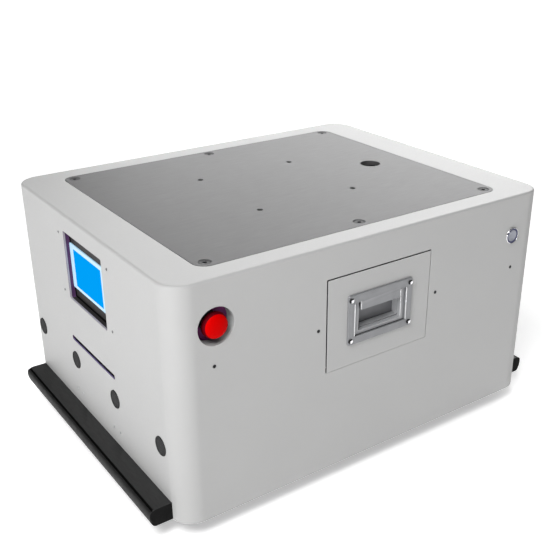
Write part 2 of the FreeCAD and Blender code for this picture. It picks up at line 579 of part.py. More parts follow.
# ================================================================ casters
plates = []
for nx, sx in (("front", 1), ("rear", -1)):
    for ny, sy in (("left", 1), ("right", -1)):
        cx, cy = sx * CASTER_X, sy * CASTER_Y
        p = rbox(cx - 32, cx + 32, cy - 26, cy + 26, 66, BASE_Z0, 5)
        p = p.fuse(cyl((cx, cy, 61), 17, 5)).removeSplitter()
        p = p.cut(cyl((cx, cy, 60), 6.05, 9))
        plates.append(p)
        f = cyl((cx, cy, 54.5), 20, 6.1)
        f = f.fuse(cyl((cx, cy, 60), 6.0, 8.6))
        wx = cx - CASTER_TRAIL
        f = f.fuse(box(wx - 9, cx + 10, cy - 15, cy + 15, 54.5, 58))
        for s in (1, -1):
            y0, y1 = sorted((cy + s * 12, cy + s * 15))
            leg = prism_xz([(wx - 9, 58), (cx + 10, 58), (cx + 8, 48), (wx + 8, 17), (wx - 8, 17),
                            (wx - 9, 25)], y0, y1)
            f = f.fuse(leg)
        f = f.fuse(cyl((wx, cy - 17, CASTER_R), 4.0, 34, (0, 1, 0)))
        f = f.fuse(cyl((wx, cy - 18, CASTER_R), 6.0, 3, (0, 1, 0)))
        f = f.fuse(cyl((wx, cy + 15, CASTER_R), 6.0, 3, (0, 1, 0))).removeSplitter()
        save("caster_fork_%s_%s" % (nx, ny), f)
        wl = cyl((wx, cy - 10, CASTER_R), CASTER_R, 20, (0, 1, 0))
        wl = wl.makeFillet(2.5, [e for e in wl.Edges if e.BoundBox.YMax - e.BoundBox.YMin < 1e-4])
        wl = wl.cut(ring((wx, cy - 11, CASTER_R), 18, 9, 4, (0, 1, 0)))
        wl = wl.cut(ring((wx, cy + 7, CASTER_R), 18, 9, 4, (0, 1, 0)))
        wl = wl.fuse(ring((wx, cy - 11.5, CASTER_R), 8, 4.05, 23, (0, 1, 0))).removeSplitter()
        wl = wl.cut(cyl((wx, cy - 20, CASTER_R), 4.05, 40, (0, 1, 0)))
        save("caster_wheel_%s_%s" % (nx, ny), wl)
save("caster_plates", plates)
print("parts", len(os.listdir("parts")))
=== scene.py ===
import math
import bpy
import bmesh
from mathutils import Matrix, Vector


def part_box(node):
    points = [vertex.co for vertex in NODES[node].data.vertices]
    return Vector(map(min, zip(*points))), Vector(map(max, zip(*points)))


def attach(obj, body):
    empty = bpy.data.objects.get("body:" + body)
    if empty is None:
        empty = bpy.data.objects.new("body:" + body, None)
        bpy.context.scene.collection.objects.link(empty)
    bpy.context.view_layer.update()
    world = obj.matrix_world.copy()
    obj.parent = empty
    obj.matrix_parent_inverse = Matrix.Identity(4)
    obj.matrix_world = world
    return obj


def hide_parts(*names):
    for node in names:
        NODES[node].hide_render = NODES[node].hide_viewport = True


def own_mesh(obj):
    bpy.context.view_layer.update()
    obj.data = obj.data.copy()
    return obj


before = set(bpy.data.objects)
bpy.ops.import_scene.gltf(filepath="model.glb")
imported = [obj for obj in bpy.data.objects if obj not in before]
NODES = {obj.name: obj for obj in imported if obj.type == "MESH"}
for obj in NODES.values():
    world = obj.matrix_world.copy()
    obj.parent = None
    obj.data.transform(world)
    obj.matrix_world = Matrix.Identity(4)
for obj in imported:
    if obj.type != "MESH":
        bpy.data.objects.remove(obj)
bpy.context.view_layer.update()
MM = 0.001


def span(node):
    """Low and high corner of a CAD node, in millimetres."""
    lo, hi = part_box(node)
    return [v * 1000 for v in lo], [v * 1000 for v in hi]


# ------------------------------------------------------------------ camera
AZ, EL, ROLL = math.radians(144.44), math.radians(24.78), math.radians(0.12)
back = Vector((math.sin(AZ) * math.cos(EL), -math.cos(AZ) * math.cos(EL), math.sin(EL)))
right = (-back).cross(Vector((0, 0, 1))).normalized()
up = right.cross(-back).normalized()
r2 = right * math.cos(ROLL) + up * math.sin(ROLL)
u2 = up * math.cos(ROLL) - right * math.sin(ROLL)
cam_data = bpy.data.cameras.new("photo_camera")
cam = bpy.data.objects.new("photo_camera", cam_data)
bpy.context.scene.collection.objects.link(cam)
cam.matrix_world = Matrix(((r2.x, u2.x, back.x, 0.77907), (r2.y, u2.y, back.y, 1.14912),
                           (r2.z, u2.z, back.z, 0.82357 + 0.027), (0, 0, 0, 1)))
cam_data.sensor_width = 36.0
cam_data.lens = 56.387
cam_data.shift_x = -0.03805
cam_data.shift_y = 0.0210
cam_data.clip_start = 0.01
cam_data.clip_end = 100.0
bpy.context.scene.camera = cam
bpy.context.scene.view_settings.view_transform = "Standard"
bpy.context.scene.view_settings.look = "None"


# ------------------------------------------------------------------ materials
def material(name, color, rough=0.5, metal=0.0, tone=0.03, tone_scale=30.0, rough_var=0.06,
             rough_scale=60.0, bump=0.05, bump_scale=900.0, bump_dist=0.0002, stretch=(1, 1, 1),
             wear=0.0, wear_color=(0.8, 0.8, 0.8), specular=0.5, coat=0.0, coat_rough=0.1,
             emission=None, emit=0.0, weave=None, alpha=1.0, transmission=0.0):
    m = bpy.data.materials.new(name)
    m.use_nodes = True
    nt = m.node_tree
    nt.nodes.clear()
    out = nt.nodes.new("ShaderNodeOutputMaterial")
    bs = nt.nodes.new("ShaderNodeBsdfPrincipled")
    nt.links.new(bs.outputs["BSDF"], out.inputs["Surface"])
    tc = nt.nodes.new("ShaderNodeTexCoord")
    mp = nt.nodes.new("ShaderNodeMapping")
    mp.inputs["Scale"].default_value = stretch
    nt.links.new(tc.outputs["Object"], mp.inputs["Vector"])
    # tone: broad, gentle change of colour over the surface
    n1 = nt.nodes.new("ShaderNodeTexNoise")
    n1.inputs["Scale"].default_value = tone_scale
    n1.inputs["Detail"].default_value = 5.0
    nt.links.new(mp.outputs["Vector"], n1.inputs["Vector"])
    ramp = nt.nodes.new("ShaderNodeValToRGB")
    ramp.color_ramp.elements[0].position = 0.3
    ramp.color_ramp.elements[1].position = 0.7
    lo = [max(0.0, c * (1 - tone)) for c in color[:3]] + [1.0]
    hi = [min(1.0, c * (1 + tone)) for c in color[:3]] + [1.0]
    ramp.color_ramp.elements[0].color = lo
    ramp.color_ramp.elements[1].color = hi
    nt.links.new(n1.outputs["Fac"], ramp.inputs["Fac"])
    color_out = ramp.outputs["Color"]
    if wear > 0.0:
        geo = nt.nodes.new("ShaderNodeNewGeometry")
        wr = nt.nodes.new("ShaderNodeMapRange")
        wr.inputs["From Min"].default_value = 0.52
        wr.inputs["From Max"].default_value = 0.62
        wr.inputs["To Min"].default_value = 0.0
        wr.inputs["To Max"].default_value = wear
        nt.links.new(geo.outputs["Pointiness"], wr.inputs["Value"])
        mx = nt.nodes.new("ShaderNodeMix")
        mx.data_type = "RGBA"
        nt.links.new(wr.outputs["Result"], mx.inputs["Factor"])
        nt.links.new(color_out, mx.inputs["A"])
        mx.inputs["B"].default_value = list(wear_color) + [1.0]
        color_out = mx.outputs["Result"]
    nt.links.new(color_out, bs.inputs["Base Color"])
    # roughness: fine mottling
    n2 = nt.nodes.new("ShaderNodeTexNoise")
    n2.inputs["Scale"].default_value = rough_scale
    n2.inputs["Detail"].default_value = 3.0
    nt.links.new(mp.outputs["Vector"], n2.inputs["Vector"])
    rr = nt.nodes.new("ShaderNodeMapRange")
    rr.inputs["From Min"].default_value = 0.3
    rr.inputs["From Max"].default_value = 0.7
    rr.inputs["To Min"].default_value = max(0.02, rough - rough_var)
    rr.inputs["To Max"].default_value = min(1.0, rough + rough_var)
    nt.links.new(n2.outputs["Fac"], rr.inputs["Value"])
    nt.links.new(rr.outputs["Result"], bs.inputs["Roughness"])
    # bump: grain of the surface
    if weave is not None:
        n3 = nt.nodes.new("ShaderNodeTexWave")
        n3.inputs["Scale"].default_value = weave
        n3.inputs["Distortion"].default_value = 0.6
        h = n3.outputs["Fac"]
    else:
        n3 = nt.nodes.new("ShaderNodeTexNoise")
        n3.inputs["Scale"].default_value = bump_scale
        n3.inputs["Detail"].default_value = 2.0
        h = n3.outputs["Fac"]
    nt.links.new(mp.outputs["Vector"], n3.inputs["Vector"])
    bp = nt.nodes.new("ShaderNodeBump")
    bp.inputs["Strength"].default_value = bump
    bp.inputs["Distance"].default_value = bump_dist
    nt.links.new(h, bp.inputs["Height"])
    nt.links.new(bp.outputs["Normal"], bs.inputs["Normal"])
    bs.inputs["Metallic"].default_value = metal
    bs.inputs["Specular IOR Level"].default_value = specular
    bs.inputs["Coat Weight"].default_value = coat
    bs.inputs["Coat Roughness"].default_value = coat_rough
    bs.inputs["Alpha"].default_value = alpha
    bs.inputs["Transmission Weight"].default_value = transmission
    if emission is not None:
        bs.inputs["Emission Color"].default_value = list(emission) + [1.0]
        bs.inputs["Emission Strength"].default_value = emit
    m.diffuse_color = list(color[:3]) + [1.0]
    return m


M = {}
M["cover"] = material("cover_powder_coat", (0.457, 0.457, 0.455), 0.50, tone=0.012, tone_scale=9,
                      bump=0.10, bump_scale=1400, bump_dist=0.00012, specular=0.38, rough_var=0.05,
                      rough_scale=240)
# painted shade: dark purple for the cut walls of the display window and the scanner slot and for the display recess's
# side wall, standing in for their shadow
M["purple"] = material("recess_painted_shade", (0.078, 0.032, 0.098), 0.55, tone=0.15,
                       tone_scale=60, bump=0.12, bump_scale=900, specular=0.2)
# painted shade: near-black navy for the inside of the cover, so that the slot and holes look dark inside
M["inside_shade"] = material("cover_inside_painted_shade", (0.020, 0.014, 0.058), 0.7, tone=0.2, tone_scale=40,
                       bump=0.2, bump_scale=700, specular=0.15)
M["deck"] = material("deck_satin_steel", (0.088, 0.088, 0.089), 0.52, metal=0.0, tone=0.03,
                     tone_scale=6, stretch=(1, 26, 26), rough_var=0.05, rough_scale=30,
                     bump=0.07, bump_scale=55, bump_dist=0.0001,
                     specular=0.32)
M["dark_steel"] = material("blackened_steel", (0.028, 0.028, 0.030), 0.55, metal=0.2, tone=0.2,
                           tone_scale=200, bump=0.15, bump_scale=1500, wear=0.25,
                           wear_color=(0.14, 0.14, 0.14), specular=0.25)
M["zinc"] = material("zinc_plated_steel", (0.60, 0.61, 0.62), 0.36, metal=0.9, tone=0.07,
                     tone_scale=45, rough_var=0.12, rough_scale=70, bump=0.08, bump_scale=500,
                     wear=0.2, wear_color=(0.8, 0.8, 0.8))
M["alu"] = material("extruded_aluminium", (0.66, 0.665, 0.67), 0.34, metal=0.9, tone=0.04,
                    tone_scale=30, stretch=(30, 30, 1), rough_var=0.08, bump=0.10, bump_scale=90)
M["cast_alu"] = material("cast_aluminium", (0.58, 0.585, 0.59), 0.48, metal=0.85, tone=0.06,
                         tone_scale=60, rough_var=0.12, bump=0.35, bump_scale=700, bump_dist=0.0003,
                         wear=0.3, wear_color=(0.8, 0.8, 0.8))
M["base"] = material("black_powder_coat", (0.028, 0.028, 0.031), 0.55, tone=0.12, tone_scale=20,
                     bump=0.25, bump_scale=1100, wear=0.3, wear_color=(0.25, 0.25, 0.26))
M["handle"] = material("satin_cast_zinc", (0.235, 0.238, 0.248), 0.42, metal=0.35, tone=0.05,
                       tone_scale=70, rough_var=0.08, bump=0.08, bump_scale=1200, wear=0.30,
                       wear_color=(0.55, 0.55, 0.56))
# painted shade: a darker zinc for the back wall of the dish
M["handle_back"] = material("dish_back_painted_shade", (0.155, 0.157, 0.165), 0.45, metal=0.35, tone=0.06,
                            tone_scale=70, rough_var=0.08, bump=0.10, bump_scale=1100)
# painted light: a lighter zinc for the dish floor and the dish wall that face the light
M["handle_lit"] = material("dish_painted_light", (0.50, 0.505, 0.52), 0.42, metal=0.35, tone=0.06,
                             tone_scale=70, rough_var=0.08, bump=0.10, bump_scale=1100)
# painted highlight: light polished metal for the beads on the handle's edges
M["edge"] = material("painted_edge_highlight", (0.66, 0.665, 0.675), 0.25, metal=0.4, tone=0.04,
                     tone_scale=90, rough_var=0.05, bump=0.05, bump_scale=900)
M["bright"] = material("polished_steel", (0.86, 0.86, 0.87), 0.08, metal=1.0, tone=0.03,
                       tone_scale=120, rough_var=0.03, bump=0.02, bump_scale=900)
# painted shade: near-black glossy steel for one side of the handle's dome screws
M["screw_shade"] = material("screw_side_painted_shade", (0.012, 0.012, 0.013), 0.2, metal=0.3,
                            tone=0.1, tone_scale=120, bump=0.02, specular=0.2)
# black plastic for the small plastic parts; on the drawer face's edges it is painted shade for the gap round the
# drawer
M["plastic"] = material("black_plastic_and_painted_gap_shade", (0.022, 0.022, 0.024), 0.45, tone=0.15,
                        tone_scale=40, bump=0.25, bump_scale=1300, rough_var=0.08)
M["sensor"] = material("sensor_rubber", (0.027, 0.027, 0.0275), 0.7, tone=0.12, tone_scale=120,
                       bump=0.3, bump_scale=1600, rough_var=0.08, specular=0.17)
M["rubber"] = material("bumper_rubber", (0.021, 0.021, 0.021), 0.60, tone=0.12, tone_scale=25,
                       stretch=(6, 1, 6), rough_var=0.08, bump=0.22, bump_scale=800,
                       bump_dist=0.0002, wear=0.25, wear_color=(0.07, 0.07, 0.07), specular=0.3)
# near black: the display gasket's own colour, and painted shade in the bumper groove and the handle window's shadow
# lines
M["groove"] = material("near_black_gasket_and_painted_shade", (0.004, 0.004, 0.004), 0.8, tone=0.2, tone_scale=60,
                       bump=0.2, bump_scale=900, specular=0.05)
M["rubber_nose"] = material("bumper_nose_rubber", (0.011, 0.011, 0.011), 0.6, tone=0.12, tone_scale=25,
                            bump=0.2, bump_scale=700, bump_dist=0.0002, wear=0.25,
                            wear_color=(0.05, 0.05, 0.05), specular=0.22)
M["rubber_end"] = material("bumper_cut_rubber", (0.008, 0.008, 0.008), 0.8, tone=0.2, tone_scale=90,
                           bump=0.3, bump_scale=1500, specular=0.1)
M["tyre"] = material("polyurethane_tyre", (0.030, 0.030, 0.032), 0.62, tone=0.15, tone_scale=30,
                     bump=0.3, bump_scale=900, wear=0.3, wear_color=(0.10, 0.10, 0.10))
M["cup"] = material("stop_button_cup_paint", (0.46, 0.48, 0.47), 0.55, tone=0.03, tone_scale=40,
                    bump=0.1, bump_scale=1200, specular=0.3)
# painted shade: purple for the floor of the stop button's recess, which lies in shade
M["cup_floor"] = material("stop_button_floor_painted_shade", (0.27, 0.055, 0.21), 0.6, tone=0.08, tone_scale=60,
                          bump=0.1, bump_scale=1000, specular=0.1)
# painted shade: dark red for the stop button head's side wall, which lies in shade in the recess
M["red_shade"] = material("red_head_painted_shade", (0.10, 0.0, 0.004), 0.55, tone=0.06, tone_scale=80,
                          bump=0.08, bump_scale=1100, specular=0.05)
M["red"] = material("red_stop_button", (0.58, 0.0, 0.0), 0.5, tone=0.03, tone_scale=60,
                    bump=0.05, bump_scale=1100, specular=0.02, rough_var=0.05)
M["button"] = material("button_cap_metal", (0.30, 0.31, 0.36), 0.40, metal=0.2, tone=0.04,
                       tone_scale=150, bump=0.08, bump_scale=1800, rough_var=0.05)
M["blue_ring"] = material("blue_light_ring", (0.060, 0.062, 0.115), 0.40, tone=0.08, tone_scale=90,
                          emission=(0.05, 0.06, 0.16), emit=0.15, bump=0.03, specular=0.2)
M["screen_white"] = material("display_white_border", (0.35, 0.42, 0.50), 0.4, tone=0.01,
                             emission=(0.36, 0.70, 0.90), emit=0.50, bump=0.01, rough_var=0.03,
                             specular=0.1)
M["screen_blue"] = material("display_blue_screen", (0.0, 0.03, 0.08), 0.5, tone=0.015,
                            tone_scale=18, emission=(0.0, 0.345, 0.92), emit=0.92, bump=0.01,
                            rough_var=0.03, specular=0.0)
# painted light: a lighter purple for the upward-facing lower lip of the scanner slot, the lit copy of the painted
# shade
M["slot_lip"] = material("scanner_slot_lip_painted_light", (0.19, 0.155, 0.33), 0.55, tone=0.08, tone_scale=60,
                         bump=0.1, bump_scale=900, specular=0.2)
M["trim"] = material("window_trim_plastic", (0.36, 0.33, 0.37), 0.5, tone=0.06, tone_scale=60,
                     bump=0.1, bump_scale=900, specular=0.3)
M["bezel"] = material("display_bezel", (0.029, 0.026, 0.026), 0.55, tone=0.12, tone_scale=60,
                      bump=0.2, bump_scale=1200, specular=0.2)
M["motor"] = material("motor_casing", (0.030, 0.031, 0.034), 0.42, metal=0.3, tone=0.12,
                      tone_scale=60, bump=0.15, bump_scale=900, wear=0.3, wear_color=(0.35, 0.35, 0.36))
M["battery"] = material("battery_case", (0.075, 0.082, 0.095), 0.50, tone=0.08, tone_scale=35,
                        bump=0.35, bump_scale=1200, wear=0.15, wear_color=(0.2, 0.2, 0.22))
M["nylon"] = material("caster_nylon", (0.05, 0.05, 0.053), 0.48, tone=0.12, tone_scale=60,
                      bump=0.2, bump_scale=900, wear=0.2, wear_color=(0.16, 0.16, 0.16))
M["lidar"] = material("scanner_tinted_case", (0.035, 0.018, 0.09), 0.14, tone=0.1, tone_scale=40,
                      bump=0.02, coat=0.3, rough_var=0.03)
M["grey_case"] = material("grey_electronics_case", (0.42, 0.44, 0.45), 0.48, metal=0.2, tone=0.05,
                          tone_scale=30, bump=0.15, bump_scale=900, wear=0.3,
                          wear_color=(0.7, 0.7, 0.7))
M["copper"] = material("contact_copper", (0.55, 0.30, 0.12), 0.35, metal=0.9, tone=0.08,
                       tone_scale=90, bump=0.05)

NODE_MATERIAL = {
    "base_plate": "base", "frame_posts": "alu", "top_rails": "alu", "deck_plate": "deck",
    "deck_bolts": "dark_steel", "cover_shell": "cover", "cover_brackets": "zinc",
    "cover_screws": "dark_steel", "small_screws": "zinc", "display_housing": "bezel",
    "display_screen": "screen_blue", "lidar_stand": "zinc", "lidar_base": "plastic",
    "lidar_head": "lidar", "sonar_bodies": "sensor", "sonar_faces": "sensor",
    "estop_cup": "cover", "estop_base": "plastic", "estop_stem": "plastic", "estop_head": "red",
    "power_bezel": "bright", "power_light_ring": "blue_ring", "power_cap": "button",
    "drawer_rails_fixed": "zinc", "drawer_rails_moving": "zinc", "drawer_tray": "zinc",
    "drawer_front": "cover", "battery_pack": "battery", "pull_handle": "handle",
    "handle_screws": "bright", "front_bumper_strip": "rubber", "front_bumper_bar": "alu",
    "rear_bumper_strip": "rubber", "rear_bumper_bar": "alu", "bumper_guides": "cast_alu",
    "bumper_springs": "zinc", "bumper_switches": "plastic", "drive_brackets": "zinc",
    "arm_pivot_pins": "bright", "arm_springs": "zinc", "caster_plates": "zinc",
    "equipment_shelf": "zinc", "control_box": "grey_case", "motor_drivers": "grey_case",
}
for s in ("left", "right"):
    NODE_MATERIAL["drive_tyre_" + s] = "tyre"
    NODE_MATERIAL["drive_hub_" + s] = "cast_alu"
    NODE_MATERIAL["swing_arm_" + s] = "cast_alu"
    NODE_MATERIAL["gearmotor_" + s] = "motor"
for c in ("front_left", "front_right", "rear_left", "rear_right"):
    NODE_MATERIAL["caster_fork_" + c] = "zinc"
    NODE_MATERIAL["caster_wheel_" + c] = "nylon"


# ------------------------------------------------------------------ mesh tools
def to_object(name, bm, mat=None, angle=32.0, smooth=True):
    bmesh.ops.recalc_face_normals(bm, faces=bm.faces)
    me = bpy.data.meshes.new(name)
    bm.to_mesh(me)
    bm.free()
    o = bpy.data.objects.new(name, me)
    bpy.context.scene.collection.objects.link(o)
    if smooth:
        me.shade_smooth()
        me.set_sharp_from_angle(angle=math.radians(angle))
    if mat is not None:
        for k in (mat if isinstance(mat, (list, tuple)) else [mat]):
            me.materials.append(M[k])
    return o


def axes_of(axis):
    return {"x": (Vector((0, 1, 0)), Vector((0, 0, 1)), Vector((1, 0, 0))),
            "y": (Vector((1, 0, 0)), Vector((0, 0, 1)), Vector((0, 1, 0))),
            "z": (Vector((1, 0, 0)), Vector((0, 1, 0)), Vector((0, 0, 1)))}[axis]


def rrect(cx, cy, hx, hy, r, seg=6):
    pts = []
    for qx, qy, a0 in ((1, 1, 0), (-1, 1, 90), (-1, -1, 180), (1, -1, 270)):
        for k in range(seg + 1):
            a = math.radians(a0 + 90.0 * k / seg)
            pts.append((cx + qx * (hx - r) + r * math.cos(a), cy + qy * (hy - r) + r * math.sin(a)))
    return pts


def circ(cx, cy, r, seg=48, a0=0.0):
    return [(cx + r * math.cos(math.radians(a0 + 360.0 * k / seg)),
             cy + r * math.sin(math.radians(a0 + 360.0 * k / seg))) for k in range(seg)]


def loft(bm, rings, close=True, caps=True):
    """rings: lists of points in mm, all the same length; joined by quads."""
    vs = [[bm.verts.new(Vector(p) * MM) for p in ring] for ring in rings]
    n = len(rings[0])
    for a, b in zip(vs, vs[1:]):
        for i in range(n):
            j = (i + 1) % n
            if not close and j == 0:
                continue
            bm.faces.new((a[i], a[j], b[j], b[i]))
    if caps:
        bm.faces.new(list(reversed(vs[0])))
        bm.faces.new(vs[-1])
    return vs


def prism(bm, pts, axis, a0, a1):
    e1, e2, e3 = axes_of(axis)
    rings = [[e1 * p + e2 * q + e3 * a for p, q in pts] for a in (a0, a1)]
    return loft(bm, rings)


def lathe(bm, profile, origin, axis, seg=48, close_profile=False):
    """profile: (radius, height) in mm along axis from origin; closed where radius is 0."""
    e1, e2, e3 = axes_of(axis)
    o = Vector(origin)
    rows = []
    for r, h in profile:
        if r < 1e-6:
            rows.append([bm.verts.new((o + e3 * h) * MM)])
        else:
            rows.append([bm.verts.new((o + e3 * h + e1 * (r * math.cos(2 * math.pi * k / seg)) +
                                       e2 * (r * math.sin(2 * math.pi * k / seg))) * MM)
                         for k in range(seg)])
    pairs = list(zip(rows, rows[1:]))
    if close_profile:
        pairs.append((rows[-1], rows[0]))
    for a, b in pairs:
        for k in range(seg):
            j = (k + 1) % seg
            if len(a) == 1 and len(b) == 1:
                continue
            if len(a) == 1:
                bm.faces.new((a[0], b[j], b[k]))
            elif len(b) == 1:
                bm.faces.new((a[k], a[j], b[0]))
            else:
                bm.faces.new((a[k], a[j], b[j], b[k]))
    if not close_profile:
        for row in (rows[0], rows[-1]):
            if len(row) > 1:
                bm.faces.new(row)
    return rows


def boxm(bm, x0, x1, y0, y1, z0, z1):
    return prism(bm, [(x0, y0), (x1, y0), (x1, y1), (x0, y1)], "z", z0, z1)


def apply_mods(o):
    dg = bpy.context.evaluated_depsgraph_get()
    dg.update()
    me = bpy.data.meshes.new_from_object(o.evaluated_get(dg))
    old = o.data
    o.modifiers.clear()
    o.data = me
    me.name = o.name
    if old.users == 0:
        bpy.data.meshes.remove(old)
    return o


def cut(o, cutters):
    """Subtracts each closed mesh in cutters (bmesh builders) from o."""
    for i, build in enumerate(cutters):
        bm = bmesh.new()
        build(bm)
        c = to_object("cutter", bm, smooth=False)
        md = o.modifiers.new("cut%d" % i, "BOOLEAN")
        md.operation = "DIFFERENCE"
        md.solver = "EXACT"
        md.object = c
        apply_mods(o)
        bpy.data.objects.remove(c)
    return o


def bevel(o, width, segments=2, angle=30.0, sharp=32.0):
    md = o.modifiers.new("bevel", "BEVEL")
    md.width = width * MM
    md.segments = segments
    md.limit_method = "ANGLE"
    md.angle_limit = math.radians(angle)
    md.use_clamp_overlap = True
    md.harden_normals = False
    apply_mods(o)
    o.data.shade_smooth()
    o.data.set_sharp_from_angle(angle=math.radians(sharp))
    wn = o.modifiers.new("wn", "WEIGHTED_NORMAL")
    wn.weight = 90
    wn.keep_sharp = True
    apply_mods(o)
    return o


def true_flats(o, min_area=4e-3):
    """Large flat faces get exactly their own normal, and so does each smooth face where it meets one."""
    me = o.data
    normals = [Vector(n.vector) for n in me.corner_normals]
    flat = {}
    for p in me.polygons:
        if p.area > min_area:
            for v in p.vertices:
                flat.setdefault(v, []).append(p.normal.copy())
    for p in me.polygons:
        for li in p.loop_indices:
            near = flat.get(me.loops[li].vertex_index)
            if near:
                n = max(near, key=lambda q: q.dot(p.normal))
                if n.dot(p.normal) > 0.8:
                    normals[li] = n
    me.normals_split_custom_set(normals)
    return o


def place(o, body, node=None):
    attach(o, body)
    if node:
        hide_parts(*(node if isinstance(node, (list, tuple)) else [node]))
    return o


def assign_faces(o, index, test):
    """Gives material index to faces whose centre (mm) and normal pass the test."""
    for p in o.data.polygons:
        if test(p.center * 1000.0, p.normal):
            p.material_index = index


# every CAD node starts with its material; rounded edges come from a modifier
for name, ob in NODES.items():
    ob.data.materials.clear()
    ob.data.materials.append(M[NODE_MATERIAL[name]])
    ob.data.shade_smooth()
    ob.data.set_sharp_from_angle(angle=math.radians(28))

# ------------------------------------------------------------------ cover shell
HX, HY, TOP, BOT, R = 350.0, 276.0, 400.0, 27.0, 36.0
RT, T = 4.0, 2.5
DX, DY, DR = 282.6, 237.1, 20.6
SEG = 14
rings = []


def ring_at(hx, hy, r, z):
    rings.append([(x, y, z) for x, y in rrect(0, 0, hx, hy, r, SEG)])


ring_at(HX, HY, R, BOT)
ring_at(HX, HY, R, 200.0)
ring_at(HX, HY, R, TOP - RT)
for k in range(1, 6):
    a = math.radians(90.0 * k / 5)
    d = RT * (1 - math.cos(a))
    ring_at(HX - d, HY - d, R - d, TOP - RT + RT * math.sin(a))
ring_at(DX + 0.5, DY + 0.5, DR + 0.5, TOP)
ring_at(DX, DY, DR, TOP - 0.5)
ring_at(DX, DY, DR, TOP - T)
ring_at(HX - T - 1.5, HY - T - 1.5, R - T - 1.5, TOP - T)
ring_at(HX - T, HY - T, R - T, TOP - T - 1.5)
ring_at(HX - T, HY - T, R - T, 200.0)
ring_at(HX - T, HY - T, R - T, BOT)
bm = bmesh.new()
vs = loft(bm, rings, caps=False)
n = len(rings[0])
for i in range(n):
    j = (i + 1) % n
    bm.faces.new((vs[-1][i], vs[-1][j], vs[0][j], vs[0][i]))
cover = to_object("cover", bm, ["cover", "inside_shade", "purple", "slot_lip"])

WIN = (70.5, 256.6, 371.5)
SONAR_Y = (-224.2, -74.7, 74.7, 224.2)
SONAR_Z = 141.5
SLOT_Z, SLOT_H = 183.0, 5.2
ESTOP_X, POWER_X, CTRL_Z = 282.5, -282.5, 331.7
COVER_SCREW_X = (-288.0, -114.9, 114.9, 288.0)
COVER_SCREW_Z = 273.5
DISP = (89.9, 313.9, 49.6)
SW_Y, SW_P, SW_Z = 71.2, 22.2, 84.0


def front_cuts(bm):
    prism(bm, rrect(0, (WIN[1] + WIN[2]) / 2, WIN[0], (WIN[2] - WIN[1]) / 2, 3.0), "x", 330, 370)
    prism(bm, rrect(0, SLOT_Z - 0.7, 81.0, SLOT_H / 2 + 1.4, 2.4), "x", 330, 370)
    for y in SONAR_Y:
        prism(bm, circ(y, SONAR_Z, 15.1), "x", 330, 370)
    boxm(bm, 330, 370, -245.6, 245.6, 10, 56.6)
    for y in (SW_Y, -SW_Y):
        for k in (-1, 1):
            prism(bm, circ(y + k * SW_P / 2, SW_Z, 1.4, 20), "x", 330, 370)
    for y in (DISP[0], -DISP[0]):
        for k in (-1, 1):
            prism(bm, circ(y, DISP[1] + k * DISP[2], 1.4, 20), "x", 330, 370)


def rear_cuts(bm):
    for y in SONAR_Y:
        prism(bm, circ(y, SONAR_Z, 15.1), "x", -370, -330)
    boxm(bm, -370, -330, -245.6, 245.6, 10, 56.6)
    for y in (SW_Y, -SW_Y):
        for k in (-1, 1):
            prism(bm, circ(y + k * SW_P / 2, SW_Z, 1.4, 20), "x", -370, -330)


def side_cuts(bm):
    prism(bm, rrect(0, 274.0, 100.8, 76.0, 1.5), "y", 260, 290)
    prism(bm, circ(ESTOP_X, CTRL_Z, 28.0, 72), "y", 260, 290)
    prism(bm, circ(POWER_X, CTRL_Z, 12.2, 48), "y", 260, 290)
    for x in COVER_SCREW_X:
        prism(bm, circ(x, COVER_SCREW_Z, 1.8, 24), "y", 260, 290)


def far_cuts(bm):
    for x in COVER_SCREW_X:
        prism(bm, circ(x, COVER_SCREW_Z, 1.8, 24), "y", -290, -260)


cut(cover, [front_cuts, rear_cuts, side_cuts, far_cuts])
# painted shade: the inner faces of the cover get the near-black navy
assign_faces(cover, 1, lambda c, nn: abs(c.x) < HX - T + 0.05 and abs(c.y) < HY - T + 0.05 and
             c.z < TOP - T + 0.05 and not (abs(c.x) > DX - 2 and abs(c.z - TOP) < 2.4) and
             (math.hypot(max(0, abs(c.x) - 314), max(0, abs(c.y) - 240)) < R - T + 0.3))
bevel(cover, 0.35, 2)
# painted shade: the cut walls of the display window and the scanner slot get the dark purple
assign_faces(cover, 2, lambda c, nn: abs(nn.x) < 0.5 and HX - T - 0.2 < c.x < HX - 0.2 and
             ((abs(c.y) < 72 and 258 < c.z < 373) or (abs(c.y) < 83 and 177 < c.z < 189)))
# painted light: the upward-facing lower lip of the slot gets the lighter purple
assign_faces(cover, 3, lambda c, nn: nn.z > 0.6 and HX - T - 0.2 < c.x < HX - 0.3 and
             abs(c.y) < 83 and 177 < c.z < SLOT_Z)
true_flats(cover)
place(cover, "chassis", "cover_shell")

# ------------------------------------------------------------------ deck plate
DB = [(x, y) for x in (-264.8, 0.0, 264.8) for y in (-221.2, 221.2)]
bm = bmesh.new()
prism(bm, rrect(0, 0, 282.0, 236.5, 20.0, 10), "z", 392.0, 400.0)
deck = to_object("deck", bm, ["deck", "dark_steel"])


def deck_cuts(bm):
    for x, y in DB:
        lathe(bm, [(4.2, 380), (4.2, 394.4), (9.8, 400.0), (9.9, 400.1), (9.9, 410)], (x, y, 0), "z", 48)
    for sx in (-1, 1):
        for sy in (-1, 1):
            # core hole with thread ridges and a lead-in
            prof = [(4.25, 380)]
            z = 391.0
            while z < 399.0:
                prof += [(4.25, z), (4.85, z + 0.55)]
                z += 1.1
            prof += [(4.25, 399.1), (5.1, 400.0), (5.2, 400.1), (5.2, 410)]
            lathe(bm, prof, (sx * 92.0, sy * 92.0, 0), "z", 32)
    lathe(bm, [(17.5, 380), (17.5, 399.4), (18.1, 400.0), (18.2, 400.1), (18.2, 410)],
          (-206.8, 0, 0), "z", 64)


cut(deck, [deck_cuts])
bevel(deck, 0.4, 2, angle=50)
true_flats(deck)
place(deck, "chassis", "deck_plate")


